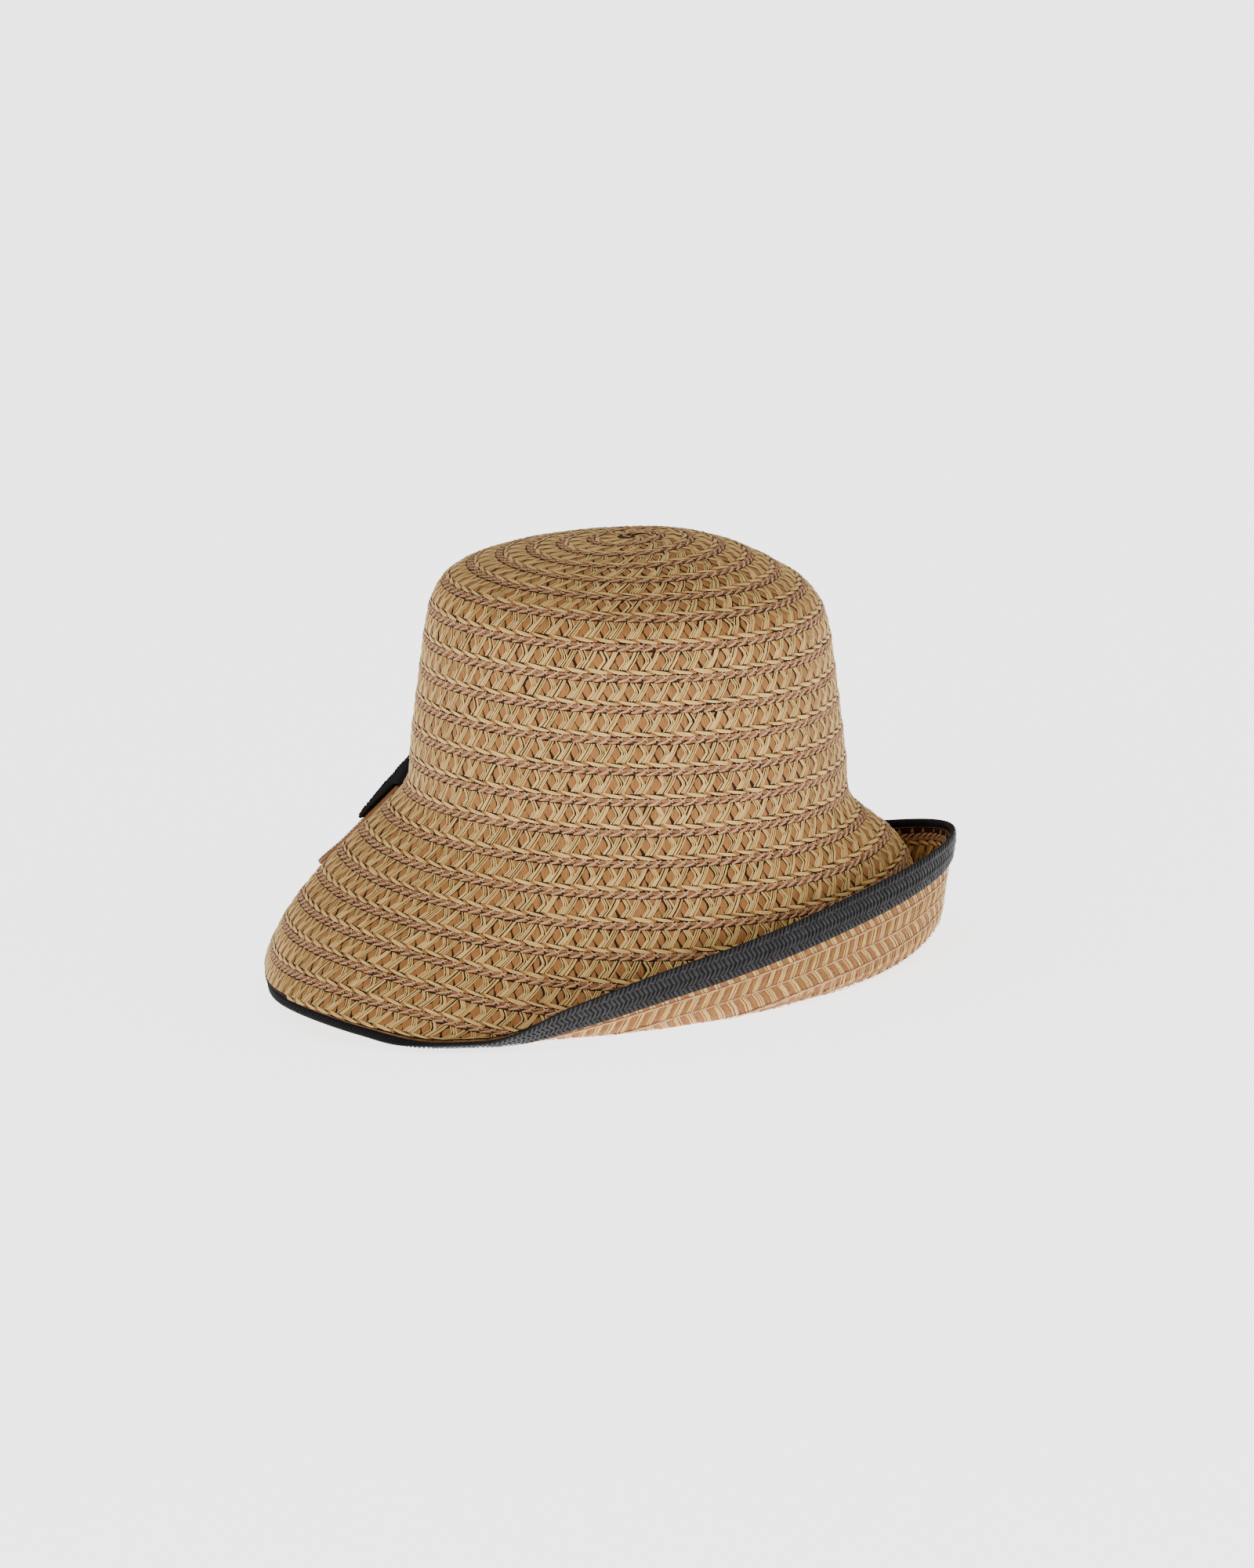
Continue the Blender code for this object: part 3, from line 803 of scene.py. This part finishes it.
def crown_frame(x, y, z):
    """A point of the upright crown's own frame, carried to the hat as it rests."""
    return Vector(lean_back(np.array([[x, y, z]]))[0] + cloth.shift)


# Camera, measured from the photograph
ELEVATION = 12.6
DISTANCE = 12.0
PIXELS_PER_MM = 2.9
PHOTO_HEIGHT = 2000
SENSOR = 36.0
TARGET_X = -2.8 * MM
TARGET_BELOW_HEAD = 5.0 * MM


def add_camera():
    """A long lens that keeps the crown upright in the picture, as in the photograph."""
    camera = bpy.data.objects.new("camera", bpy.data.cameras.new("camera"))
    bpy.context.scene.collection.objects.link(camera)
    camera.data.sensor_width = SENSOR
    camera.data.lens = SENSOR * DISTANCE / (PHOTO_HEIGHT / PIXELS_PER_MM * MM)
    camera.data.clip_end = 60.0
    depths = np.arange(0.5 * MM, HEAD_LINE, MM)
    head_height = -float(np.sin(cloth_slopes(depths, np.array([90.0]))).sum()) * MM
    height = head_height - TARGET_BELOW_HEAD
    angle = math.radians(ELEVATION)
    target = crown_frame(TARGET_X, 0.0, height)
    back_y, back_z = -DISTANCE * math.cos(angle), DISTANCE * math.sin(angle)
    place = crown_frame(TARGET_X, back_y, height + back_z)
    up = crown_frame(0.0, 0.0, 1.0) - crown_frame(0.0, 0.0, 0.0)
    back = (place - target).normalized()
    right = up.cross(back).normalized()
    turn = Matrix((right, back.cross(right), back)).transposed()
    camera.matrix_world = Matrix.Translation(place) @ turn.to_4x4()
    bpy.context.scene.camera = camera


# Studio lights: name, place, size in metres, power in watts
LIGHTS = (
    ("key", (-0.9, -1.9, 1.3), 1.4, 14.0),
    ("fill", (1.5, -1.5, 0.9), 1.4, 8.0),
)
SKY_STRENGTH = 0.85
FLOOR_GLOW = 2.6
FLOOR_SIZE = 80.0
AIM_HEIGHT = 0.08


def add_studio():
    world = bpy.data.worlds.new("studio")
    bpy.context.scene.world = world
    world.use_nodes = True
    sky = world.node_tree.nodes["Background"]
    sky.inputs["Color"].default_value = (1.0, 1.0, 1.0, 1.0)
    sky.inputs["Strength"].default_value = SKY_STRENGTH
    for name, location, size, power in LIGHTS:
        light = bpy.data.objects.new(name, bpy.data.lights.new(name, "AREA"))
        bpy.context.scene.collection.objects.link(light)
        light.data.shape = "SQUARE"
        light.data.size = size
        light.data.energy = power
        light.location = location
        aim = Vector(location) - Vector((0.0, 0.0, AIM_HEIGHT))
        light.rotation_euler = aim.to_track_quat("Z", "Y").to_euler()
    bpy.ops.mesh.primitive_plane_add(size=FLOOR_SIZE, location=(0.0, 0.0, 0.0))
    floor = bpy.context.active_object
    floor.name = "floor"
    material = bpy.data.materials.new("pale floor")
    material.use_nodes = True
    shader = material.node_tree.nodes["Principled BSDF"]
    shader.inputs["Base Color"].default_value = (0.85, 0.85, 0.85, 1.0)
    shader.inputs["Roughness"].default_value = 0.9
    shader.inputs["Emission Color"].default_value = (1.0, 1.0, 1.0, 1.0)
    shader.inputs["Emission Strength"].default_value = FLOOR_GLOW
    floor.data.materials.append(material)


cloth = Cloth()
spiral = Spiral(cloth)

crown = make_straw("crown_look", spiral, SPIRAL_START, SPLIT, 0.5 * MM, CROWN_DEPTH, 11, False)
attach(crown, "root")
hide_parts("crown")

brim = make_straw("brim_look", spiral, SPLIT, SPIRAL_END, CROWN_DEPTH, STRAW_EDGE, 12, True)
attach(brim, "root")
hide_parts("brim")

edge_braid = make_edge_braid(cloth, 13)
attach(edge_braid, "root")
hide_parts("edge_braid")

tail = make_tail(cloth, 14)
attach(tail, "root")
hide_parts("bow_tail")

wrap = make_wrap(cloth, 15)
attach(wrap, "root")
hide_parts("bow_wrap")

add_studio()
add_camera()
